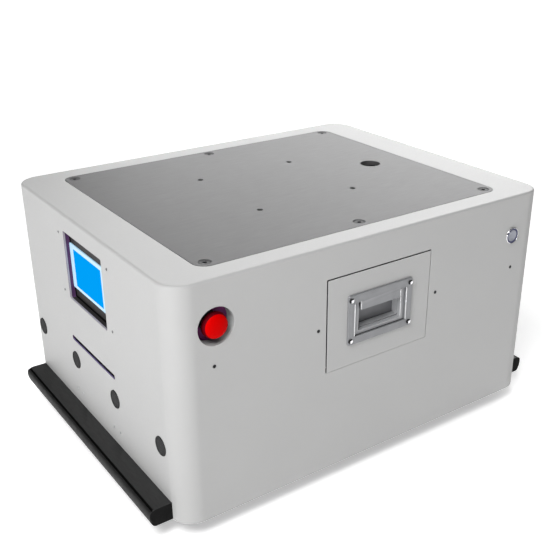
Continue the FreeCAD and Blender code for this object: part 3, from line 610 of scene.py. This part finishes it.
def hex_socket(bm_cut, x, y, r, z0, z1, axis="z"):
    prism(bm_cut, circ(x, y, r, 6, 30), axis, z0, z1)


bm = bmesh.new()
for x, y in DB:
    lathe(bm, [(0, 370), (4.0, 370), (4.0, 394.1), (8.7, 398.7), (8.9, 399.0), (8.6, 399.2), (0, 399.2)],
          (x, y, 0), "z", 48)
bolts = to_object("deck_countersunk_bolts", bm, ["dark_steel"])


def bolt_cuts(bm):
    for x, y in DB:
        hex_socket(bm, x, y, 3.4, 395.4, 405)


cut(bolts, [bolt_cuts])
bevel(bolts, 0.18, 1, angle=50)
place(bolts, "chassis", "deck_bolts")

# ------------------------------------------------------------------ drawer front
bm = bmesh.new()
prism(bm, rrect(-0.45, 273.15, 99.05, 74.85, 1.2, 4), "y", 273.0, 276.0)
dfront = to_object("drawer_face", bm, ["cover", "plastic"])


def drawer_cuts(bm):
    prism(bm, rrect(0, 275.5, 45.0, 28.0, 4.0), "y", 265, 285)
    for sx in (1, -1):
        for sz in (1, -1):
            prism(bm, circ(sx * 57.4, 274.0 + sz * 33.4, 2.1, 20), "y", 265, 285)


cut(dfront, [drawer_cuts])
bevel(dfront, 0.3, 1)
# painted shade: the drawer face's side and top edges are black, standing in for the shaded gap round it
assign_faces(dfront, 1, lambda c, nn: abs(nn.y) < 0.4 and (abs(c.x) > 98 or c.z > 346.5))
place(dfront, "battery_drawer", "drawer_front")

# ------------------------------------------------------------------ pull handle
def join(o, build):
    """Fuses one more closed mesh into o."""
    bm = bmesh.new()
    build(bm)
    c = to_object("joined", bm, smooth=False)
    md = o.modifiers.new("u", "BOOLEAN")
    md.operation = "UNION"
    md.solver = "EXACT"
    md.object = c
    apply_mods(o)
    bpy.data.objects.remove(c)
    return o


HZ = 274.0
bm = bmesh.new()
# flange with a chamfered rim
loft(bm, [[(x, y, z) for x, z in rrect(0, HZ, hx, hz, 4.0, 6)] for y, hx, hz in
          ((276.0, 62.5, 41.0), (277.6, 62.5, 41.0), (278.7, 62.1, 40.6), (279.3, 61.0, 39.5))])
handle = to_object("pull_handle_dish", bm, ["handle", "edge", "handle_lit", "handle_back"])
join(handle, lambda bm: prism(bm, rrect(0, 275.5, 44.0, 27.0, 6.0, 6), "y", 258.0, 276.6))


def handle_cuts_a(bm):
    # shallow window around the dish; the lip between its shoulders stays at flange height
    prism(bm, [(-50.0, 246.0), (50.0, 246.0), (50.0, 301.0), (38.5, 301.0), (38.5, 287.4),
               (-38.5, 287.4), (-38.5, 301.0), (-50.0, 301.0)], "y", 276.5, 290)


def handle_cuts_b(bm):
    # dish pocket, a little narrower at the back, running up behind the lip
    e = []
    for y, hx, z0, z1, r in ((260.0, 39.0, 256.8, 298.6, 2.0), (261.0, 39.6, 256.0, 299.0, 2.6),
                             (273.0, 40.6, 254.0, 299.4, 3.0), (276.2, 41.0, 253.4, 299.5, 3.2)):
        e.append([(x, y, z) for x, z in rrect(0, (z0 + z1) / 2, hx, (z1 - z0) / 2, r, 5)])
    loft(bm, e)


def handle_cuts_b2(bm):
    prism(bm, [(-41.0, 253.0), (41.0, 253.0), (41.0, 299.5), (38.5, 299.5), (38.5, 287.4),
               (-38.5, 287.4), (-38.5, 299.5), (-41.0, 299.5)], "y", 270.0, 290)


def handle_cuts_c(bm):
    for sx in (1, -1):
        for sz in (1, -1):
            prism(bm, circ(sx * 57.4, HZ + sz * 33.4, 2.1, 20), "y", 268, 285)


cut(handle, [handle_cuts_b, handle_cuts_a, handle_cuts_b2, handle_cuts_c])
bevel(handle, 0.4, 2, angle=40)
# painted light: the upward faces and the +x-facing wall of the dish get the lighter zinc
assign_faces(handle, 2, lambda c, nn: c.y < 276.2 and abs(c.x) < 41.2 and 252.5 < c.z < 300 and
             (nn.z > 0.6 or (nn.x > 0.6 and c.x < 0)))
# painted shade: the back wall of the dish gets the darker zinc
assign_faces(handle, 3, lambda c, nn: 259.5 < c.y < 262 and abs(c.x) < 41.2 and nn.y > 0.6)
place(handle, "battery_drawer", "pull_handle")
# half-round beads of light metal on the upright edges of the window, the dish and the lip, as painted highlights, and
# dark strips round the window as painted shade
bm = bmesh.new()
for x, z0, z1, y, r in ((50.4, 246.8, 300.2, 279.15, 1.05), (-50.4, 246.8, 300.2, 279.15, 1.05),
                        (-41.6, 254.5, 298.0, 276.6, 0.95), (38.6, 288.2, 301.0, 279.15, 0.95),
                        (-38.6, 288.2, 301.0, 279.15, 0.95)):
    pts = [(x + r * math.cos(math.radians(a)), y + r * 0.8 * math.sin(math.radians(a)))
           for a in range(0, 360, 30)]
    tip = [(x + 0.5 * r * math.cos(math.radians(a)), y - 0.2 + 0.4 * r * math.sin(math.radians(a)))
           for a in range(0, 360, 30)]
    loft(bm, [[(px, py, z) for px, py in q] for q, z in
              ((tip, z0), (pts, z0 + 0.5), (pts, z1 - 0.5), (tip, z1))])
beads = to_object("handle_highlight_beads", bm, ["edge"], angle=50)
place(beads, "battery_drawer")
# painted shade: thin near-black strips under the window's top edges and along its bottom edge, standing in for the
# shadow lines there
bm = bmesh.new()
for x0, x1, z0, z1 in ((-49.6, 49.6, 246.25, 247.1), (39.6, 49.4, 299.7, 300.8), (-49.4, -39.6, 299.7, 300.8)):
    loft(bm, [[(x0 + t, y, z0 + t), (x1 - t, y, z0 + t), (x1 - t, y, z1 - t), (x0 + t, y, z1 - t)]
              for y, t in ((276.3, 0.0), (276.62, 0.0), (276.75, 0.15))])
shade_lines = to_object("handle_window_shade_lines", bm, ["groove"], angle=50)
place(shade_lines, "battery_drawer")

bm = bmesh.new()
for sx in (1, -1):
    for sz in (1, -1):
        lathe(bm, [(0, 270.2), (2.0, 270.2), (2.0, 279.0), (4.3, 279.05), (4.35, 279.5), (4.05, 280.5),
                   (3.3, 281.3), (2.2, 281.8), (1.1, 281.95), (0, 281.97)],
              (sx * 57.4, 0, HZ + sz * 33.4), "y", 32)
hs = to_object("handle_dome_screws", bm, ["bright", "screw_shade"], angle=50)
# painted shade: the faces of each screw dome turned towards +x get the near-black
assign_faces(hs, 1, lambda c, nn: nn.x > 0.28)
place(hs, "battery_drawer", "handle_screws")

# ------------------------------------------------------------------ emergency stop
bm = bmesh.new()
lathe(bm, [(11.1, 251.5), (30.0, 251.5), (30.0, 273.5), (28.0, 273.5), (28.0, 256.0), (27.0, 254.3),
           (26.0, 254.0), (11.1, 254.0)], (ESTOP_X, 0, CTRL_Z), "y", 96, close_profile=True)
cup = to_object("stop_button_cup", bm, ["cup", "cup_floor"], angle=40)
# painted shade: the recess floor gets the purple
assign_faces(cup, 1, lambda c, nn: c.y < 256.5)
place(cup, "chassis", "estop_cup")

bm = bmesh.new()
prof = [(0, 281.5), (4, 281.4), (7.5, 281.0), (10.5, 280.4), (13.0, 279.6), (15.2, 278.5),
        (16.6, 277.4), (17.3, 276.4), (18.3, 274.2), (19.05, 272.0), (19.3, 270.0), (19.1, 268.4), (18.1, 267.1),
        (16.2, 266.1), (14.0, 265.4), (12.0, 264.6), (7.05, 264.6), (7.05, 269.4), (0, 269.4)]
lathe(bm, prof, (ESTOP_X, 0, CTRL_Z), "y", 96)
head = to_object("stop_button_head", bm, ["red", "red_shade"], angle=42)
# painted shade: the head's side wall below the cover face gets the dark red
assign_faces(head, 1, lambda c, nn: c.y < 276.3)
place(head, "estop_button", "estop_head")

# ------------------------------------------------------------------ power button
bm = bmesh.new()
lathe(bm, [(9.9, 248), (12.0, 248), (12.0, 262), (16, 262), (16, 266), (12.0, 266), (12.0, 276.0), (13.6, 276.0),
           (14.0, 276.4), (14.0, 277.6), (13.7, 278.3), (13.2, 278.6), (12.75, 278.45), (12.6, 278.1),
           (12.6, 276.6), (9.9, 276.6)], (POWER_X, 0, CTRL_Z), "y", 72, close_profile=True)
pbz = to_object("power_button_bezel", bm, ["bright"], angle=40)
place(pbz, "chassis", "power_bezel")
bm = bmesh.new()
lathe(bm, [(10.0, 276.6), (12.5, 276.6), (12.5, 277.9), (12.2, 278.2), (10.4, 278.2), (10.0, 277.9)],
      (POWER_X, 0, CTRL_Z), "y", 72, close_profile=True)
pr = to_object("power_button_light", bm, ["blue_ring"], angle=50)
place(pr, "chassis", "power_light_ring")
bm = bmesh.new()
lathe(bm, [(0, 256), (9.6, 256), (9.6, 277.9), (9.2, 278.35), (8.4, 278.4), (8.0, 278.1), (4.5, 277.75), (0, 277.65)],
      (POWER_X, 0, CTRL_Z), "y", 72)
pc = to_object("power_button_cap", bm, ["button"], angle=40)
place(pc, "power_button", "power_cap")

# ------------------------------------------------------------------ display
bm = bmesh.new()
prism(bm, rrect(0, 314.0, 76.0, 63.5, 4.0, 4), "x", 323.5, 347.5)
house = to_object("display_surround", bm, ["bezel", "purple"])
bm = bmesh.new()
prism(bm, rrect(0, 314.0, 97.0, 60.0, 4.0, 4), "x", 344.5, 347.5)
fl = to_object("flange_tmp", bm, ["bezel"])
md = house.modifiers.new("u", "BOOLEAN")
md.operation = "UNION"
md.solver = "EXACT"
md.object = fl
apply_mods(house)
bpy.data.objects.remove(fl)


def house_cuts(bm):
    prism(bm, rrect(0, 314.05, 70.5, 57.45, 3.0), "x", 340.0, 360.0)


def house_cuts2(bm):
    boxm(bm, 332, 350, -70.0, 70.0, 272.5, 349.5)


cut(house, [house_cuts, house_cuts2])
bevel(house, 0.3, 2)
# painted shade: the recess walls facing +y get the dark purple
assign_faces(house, 1, lambda c, nn: nn.y > 0.5 and c.x > 339 and abs(c.y) < 72 and 255 < c.z < 373)
place(house, "chassis", "display_housing")
bm = bmesh.new()
prism(bm, rrect(0, 313.0, 69.8, 37.5, 1.5, 4), "x", 332.0, 342.0)
scr = to_object("display_panel", bm, ["screen_white"])
bevel(scr, 0.3, 2)
place(scr, "chassis", "display_screen")
bm = bmesh.new()
prism(bm, rrect(-4.8, 312.5, 50.8, 31.5, 0.8, 3), "x", 341.6, 342.12)
scb = to_object("display_picture", bm, ["screen_blue"])
bevel(scb, 0.08, 1)
place(scb, "chassis")


def ring_plate(bm, x0, x1, outer, inner):
    """A rectangular frame between x0 and x1; outer and inner are (hy, hz, r) about the window."""
    a = rrect(0, 314.05, outer[0], outer[1], outer[2], 4)
    b = rrect(0, 314.05, inner[0], inner[1], inner[2], 4)
    va = [[bm.verts.new((x * MM, y * MM, z * MM)) for y, z in q] for q in (a, b) for x in (x0, x1)]
    n = len(a)
    for k in range(n):
        m = (k + 1) % n
        bm.faces.new((va[0][k], va[0][m], va[1][m], va[1][k]))
        bm.faces.new((va[3][k], va[3][m], va[2][m], va[2][k]))
        bm.faces.new((va[1][k], va[1][m], va[3][m], va[3][k]))
        bm.faces.new((va[2][k], va[2][m], va[0][m], va[0][k]))


bm = bmesh.new()
ring_plate(bm, 347.0, 349.6, (70.4, 57.35, 3.0), (69.7, 56.7, 2.4))
tr = to_object("display_window_trim", bm, ["trim"])
bevel(tr, 0.12, 1)
place(tr, "chassis")
bm = bmesh.new()
ring_plate(bm, 339.8, 340.6, (70.3, 57.3, 3.0), (66.6, 53.4, 1.2))
gk = to_object("display_gasket", bm, ["groove"])
bevel(gk, 0.15, 1)
place(gk, "chassis")

# ------------------------------------------------------------------ range sensors
bm = bmesh.new()
for sx in (1, -1):
    for y in SONAR_Y:
        prof = [(0, 324.0), (12.0, 324.0), (12.0, 344.5), (17.0, 344.5), (17.0, 347.5), (14.8, 347.5),
                (14.8, 350.9), (14.5, 351.35), (13.9, 351.5), (13.2, 351.3), (12.7, 350.7), (12.2, 350.2), (0, 350.2)]
        lathe(bm, [(r, sx * h) for r, h in prof], (0, y, SONAR_Z), "x", 56)
sb = to_object("range_sensor_bodies", bm, ["sensor"], angle=40)
place(sb, "chassis", "sonar_bodies")
bm = bmesh.new()
for sx in (1, -1):
    for y in SONAR_Y:
        prof = [(0, 350.2), (12.0, 350.2), (12.0, 350.55), (11.7, 350.85), (10.9, 350.85), (10.6, 350.6),
                (8.3, 350.65), (8.0, 350.9), (7.3, 350.9), (7.0, 350.7), (4.4, 350.75), (4.1, 351.0),
                (3.4, 351.0), (3.1, 350.8), (0, 350.85)]
        lathe(bm, [(r, sx * h) for r, h in prof], (0, y, SONAR_Z), "x", 48)
sfc = to_object("range_sensor_faces", bm, ["sensor"], angle=40)
place(sfc, "chassis", "sonar_faces")

# ------------------------------------------------------------------ bumpers
S = 27.0
SEC = [(-10.0, S), (25.5, S), (27.6, S + 0.45), (29.4, S + 1.4), (30.8, S + 2.8), (31.8, S + 4.4),
       (32.7, S + 6.6), (33.4, S + 9), (34.1, S + 11.8), (34.6, S + 14.5), (34.9, S + 17), (35.0, S + 19),
       (34.9, S + 21), (34.6, S + 23), (34.0, S + 24.6), (33.3, S + 25.7), (32.3, S + 26.4), (31.4, S + 26.6),
       (30.7, S + 26.0), (30.4, S + 24.2), (29.6, S + 23.4), (28.4, S + 23.4), (27.8, S + 24.2), (27.5, S + 27.2),
       (26.9, S + 28.5), (25.7, S + 29.0), (-10.0, S + 29.0)]


def bumper(name, sx, body, node):
    bm = bmesh.new()
    rings = []
    # the groove stops short of both ends
    plain = []
    for x, z in SEC:
        if 25.7 < x < 31.4 and z > S + 23:
            z = S + 26.6 + (31.4 - x) / 5.7 * 2.4
        plain.append((x, z))
    for y, k, sec in ((-245.0, 0.985, plain), (-244.4, 1.0, plain), (-242.8, 1.0, plain),
                      (-242.5, 1.0, SEC), (-120.0, 1.0, SEC), (0.0, 1.0, SEC), (120.0, 1.0, SEC),
                      (242.5, 1.0, SEC), (242.8, 1.0, plain), (244.4, 1.0, plain), (245.0, 0.985, plain)):
        rings.append([(sx * (HX + 12 + (x - 12) * k), y, 41.5 + (z - 41.5) * k) for x, z in sec])
    loft(bm, rings)
    o = to_object(name, bm, ["rubber", "rubber_end", "groove", "rubber_nose"], angle=38)
    assign_faces(o, 1, lambda c, nn: abs(nn.y) > 0.9)
    assign_faces(o, 3, lambda c, nn: abs(nn.y) < 0.5 and abs(c.x) - HX > 29.0)
    # painted shade: the faces inside the groove get the near-black
    assign_faces(o, 2, lambda c, nn: abs(nn.y) < 0.5 and 27.5 <= abs(c.x) - HX <= 30.9 and
                 S + 23 < c.z < S + 27.3)

    def pocket(bm):
        boxm(bm, *sorted((sx * (HX - 20), sx * (HX + 16))), -240, 240, S + 4, S + 25)

    def tabs(bm):
        for y in (SW_Y, -SW_Y):
            boxm(bm, *sorted((sx * (HX - 12), sx * (HX - 5.6))), y - 5.5, y + 5.5, S + 24, S + 30)
    cut(o, [pocket, tabs])
    o.data.shade_smooth()
    o.data.set_sharp_from_angle(angle=math.radians(38))
    place(o, body, node)
    return o


bumper("front_bumper_rubber", 1, "front_bumper", "front_bumper_strip")
bumper("rear_bumper_rubber", -1, "rear_bumper", "rear_bumper_strip")

# ------------------------------------------------------------------ cover screws
bm = bmesh.new()
for x in COVER_SCREW_X:
    for sy in (1, -1):
        lathe(bm, [(0, sy * 264.5), (1.5, sy * 264.5), (1.5, sy * 276.0), (2.75, sy * 276.02),
                   (2.8, sy * 276.25), (2.4, sy * 276.6), (1.7, sy * 276.8), (1.15, sy * 276.8),
                   (1.0, sy * 276.4), (1.0, sy * 275.2), (0, sy * 275.0)],
              (x, 0, COVER_SCREW_Z), "y", 24)
cs = to_object("cover_button_screws", bm, ["dark_steel"], angle=50)
place(cs, "chassis", "cover_screws")

bm = bmesh.new()
for y in (DISP[0], -DISP[0]):
    for k in (-1, 1):
        lathe(bm, [(0, 349.0), (1.35, 349.0), (2.2, 350.03), (2.25, 350.2), (2.0, 350.55), (1.4, 350.72),
                   (0.8, 350.72), (0.75, 350.3), (0, 350.3)], (0, y, DISP[1] + k * DISP[2]), "x", 20)
ds = to_object("display_window_screws", bm, ["dark_steel"], angle=50)
place(ds, "chassis")

# ------------------------------------------------------------------ drive tyres
for side in ("left", "right"):
    lo, hi = span("drive_tyre_" + side)
    y0, y1 = lo[1], hi[1]
    cz = (lo[2] + hi[2]) / 2
    w = y1 - y0
    prof = [(62.0, y0 + 0.5), (63.0, y0), (69.5, y0), (72.6, y0 + 1.1), (74.4, y0 + 3.2), (75.0, y0 + 5.2)]
    for k in range(3):
        g = y0 + w * (k + 1) / 4
        prof += [(75.0, g - 1.5), (72.9, g - 1.1), (72.9, g + 1.1), (75.0, g + 1.5)]
    prof += [(75.0, y1 - 5.2), (74.4, y1 - 3.2), (72.6, y1 - 1.1), (69.5, y1), (63.0, y1), (62.0, y1 - 0.5)]
    bm = bmesh.new()
    lathe(bm, prof, (0, 0, cz), "y", 120, close_profile=True)
    ty = to_object("drive_tyre_tread_" + side, bm, ["tyre"], angle=38)

    def sipes(bm, y0=y0, y1=y1, cz=cz):
        for k in range(40):
            a = 2 * math.pi * k / 40
            for ya, yb in ((y0 - 1, y0 + w / 4 - 2.6), (y1 - w / 4 + 2.6, y1 + 1)):
                c, n = math.cos(a), math.sin(a)
                q = []
                for r, t in ((73.4, -0.9), (76.5, -0.9), (76.5, 0.9), (73.4, 0.9)):
                    q.append((r * c - t * n, r * n + t * c + cz))
                prism(bm, q, "y", ya, yb)
    cut(ty, [sipes])
    ty.data.shade_smooth()
    ty.data.set_sharp_from_angle(angle=math.radians(38))
    place(ty, "drive_wheel_" + side, "drive_tyre_" + side)

# ------------------------------------------------------------------ compression springs
def spring(bm, start, direction, radius, wire, length, turns):
    """Coil with closed ends (mm); the wire's middle line runs for length from start."""
    d = Vector(direction)
    e1 = Vector((0, 0, 1)) if abs(d.x) > 0.5 else Vector((1, 0, 0))
    e2 = d.cross(e1)
    step = 22
    n = int(turns * step)
    share = [max(0.0, min(1.0, (min(i + 0.5, n - i - 0.5) / step - 0.75) / 0.4)) for i in range(n)]
    closed = 2.06 * wire
    pitch = (length - closed * sum(1 - w for w in share) / step) / (sum(share) / step)
    rings, h = [], 0.0
    for i in range(n + 1):
        a = 2 * math.pi * i / step
        u = e1 * math.cos(a) + e2 * math.sin(a)
        c = Vector(start) + d * h + u * radius
        rings.append([c + u * (wire * math.cos(b)) + d * (wire * math.sin(b))
                      for b in (2 * math.pi * k / 10 for k in range(10))])
        if i < n:
            h += (closed + share[i] * (pitch - closed)) / step
    loft(bm, rings)


# each coil gets a mesh of its own on the chassis, seated at the guide or bracket and pushed at the other end
for end, sx in (("front", 1), ("rear", -1)):
    for hand, sy in (("left", 1), ("right", -1)):
        bm = bmesh.new()
        spring(bm, (sx * 309.0, sy * 90.0, S + 14.5), (sx, 0, 0), 7.6, 0.9, 21.5, 6.5)
        co = to_object("bumper_spring_" + end + "_" + hand, bm, ["zinc"], angle=60)
        place(co, "chassis", "bumper_springs")
        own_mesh(co)
for hand, sy in (("left", 1), ("right", -1)):
    bm = bmesh.new()
    spring(bm, (-55.0, sy * 191.0, 101.7), (0, 0, 1), 9.0, 1.5, 56.7, 8.5)
    co = to_object("suspension_spring_" + hand, bm, ["zinc"], angle=60)
    place(co, "chassis", "arm_springs")
    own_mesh(co)

# ------------------------------------------------------------------ battery pack
bm = bmesh.new()
loft(bm, [[(x, y, z) for x, y in rrect(0, 138.0, 86.0 - t, 110.0 - t, 5.0, 5)] for z, t in
          ((203.0, 1.5), (204.5, 0.0), (287.0, 0.0), (287.6, 1.2), (289.2, 1.2), (289.8, 0.0),
           (309.5, 0.0), (311.4, 0.8), (312.0, 2.2))])
bt = to_object("battery_case", bm, ["battery", "plastic"])


def battery_cuts(bm):
    # hand recess, side flutes and corner screw pockets
    prism(bm, rrect(0, 306.0, 40.0, 10.0, 5.0, 5), "y", 220.0, 262.0)
    for k in range(9):
        y = 58.0 + 20.0 * k
        for sx in (1, -1):
            boxm(bm, *sorted((sx * 84.4, sx * 88.0)), y - 3.0, y + 3.0, 214.0, 280.0)
    for sx in (1, -1):
        for y in (42.0, 234.0):
            prism(bm, circ(sx * 72.0, y, 4.2, 24), "z", 308.5, 315.0)


def battery_cuts2(bm):
    for k in range(7):
        x = -60.0 + 20.0 * k
        boxm(bm, x - 3.2, x + 3.2, 60.0, 200.0, 310.8, 314.0)


cut(bt, [battery_cuts, battery_cuts2])
bevel(bt, 0.5, 2)
place(bt, "battery_drawer", "battery_pack")

# ------------------------------------------------------------------ floor and light
bm = bmesh.new()
bmesh.ops.create_grid(bm, x_segments=1, y_segments=1, size=30.0)
floor = to_object("studio_floor", bm, smooth=False)
fm = material("studio_floor_paint", (0.93, 0.93, 0.93), 0.9, tone=0.004, bump=0.0, specular=0.0,
              emission=(1, 1, 1), emit=0.40)
floor.data.materials.append(fm)
# the floor glows a little more far away, so that it stays pale out to the backdrop
ft = fm.node_tree
fb = ft.nodes["Principled BSDF"]
fg = ft.nodes.new("ShaderNodeNewGeometry")
fv = ft.nodes.new("ShaderNodeVectorMath")
fv.operation = "LENGTH"
fr = ft.nodes.new("ShaderNodeMapRange")
fr.interpolation_type = "SMOOTHSTEP"
fr.inputs["From Min"].default_value = 4.0
fr.inputs["From Max"].default_value = 9.0
fr.inputs["To Min"].default_value = 0.40
fr.inputs["To Max"].default_value = 0.86
ft.links.new(fg.outputs["Position"], fv.inputs[0])
ft.links.new(fv.outputs["Value"], fr.inputs["Value"])
ft.links.new(fr.outputs["Result"], fb.inputs["Emission Strength"])
# pale backdrop all round, far beyond the lights; it gives the object no light
bm = bmesh.new()
bmesh.ops.create_uvsphere(bm, u_segments=96, v_segments=48, radius=29.0)
backdrop = to_object("studio_backdrop", bm)
bd = bpy.data.materials.new("studio_backdrop_paint")
bd.use_nodes = True
bt2 = bd.node_tree
bt2.nodes.clear()
be = bt2.nodes.new("ShaderNodeEmission")
bo = bt2.nodes.new("ShaderNodeOutputMaterial")
bgm = bt2.nodes.new("ShaderNodeNewGeometry")
bsx = bt2.nodes.new("ShaderNodeSeparateXYZ")
bmr = bt2.nodes.new("ShaderNodeMapRange")
bmr.inputs["From Min"].default_value = 0.0
bmr.inputs["From Max"].default_value = 20.0
bmr.inputs["To Min"].default_value = 0.88
bmr.inputs["To Max"].default_value = 1.0
bt2.links.new(bgm.outputs["Position"], bsx.inputs["Vector"])
bt2.links.new(bsx.outputs["Z"], bmr.inputs["Value"])
bt2.links.new(bmr.outputs["Result"], be.inputs["Strength"])
bt2.links.new(be.outputs["Emission"], bo.inputs["Surface"])
backdrop.data.materials.append(bd)
backdrop.visible_diffuse = False
backdrop.visible_glossy = False
backdrop.visible_transmission = False
backdrop.visible_volume_scatter = False
backdrop.visible_shadow = False

world = bpy.data.worlds.new("studio")
bpy.context.scene.world = world
world.use_nodes = True
wn = world.node_tree
bg = wn.nodes["Background"]
bg.inputs["Color"].default_value = (1, 1, 1, 1)
bg.inputs["Strength"].default_value = 0.02


def area(name, az, el, dist, size_x, size_y, watts, height=0.25):
    """Soft box at a compass direction and height angle, facing the robot."""
    ld = bpy.data.lights.new(name, "AREA")
    ld.energy = watts
    ld.shape = "RECTANGLE"
    ld.size = size_x
    ld.size_y = size_y
    o = bpy.data.objects.new(name, ld)
    bpy.context.scene.collection.objects.link(o)
    a, e = math.radians(az), math.radians(el)
    o.location = (dist * math.cos(e) * math.cos(a), dist * math.cos(e) * math.sin(a),
                  height + dist * math.sin(e))
    d = Vector((0, 0, height)) - Vector(o.location)
    o.rotation_euler = d.to_track_quat("-Z", "Y").to_euler()
    o.visible_camera = False
    return o


area("key_high", 35, 50, 3.5, 1.6, 1.6, 105)
area("key_low", 25, 6, 3.5, 1.6, 0.8, 27.5)
area("back_low", 230, 12, 10.0, 7.5, 3.0, 560)
area("back_high", 210, 35, 10.0, 6.2, 5.0, 355)
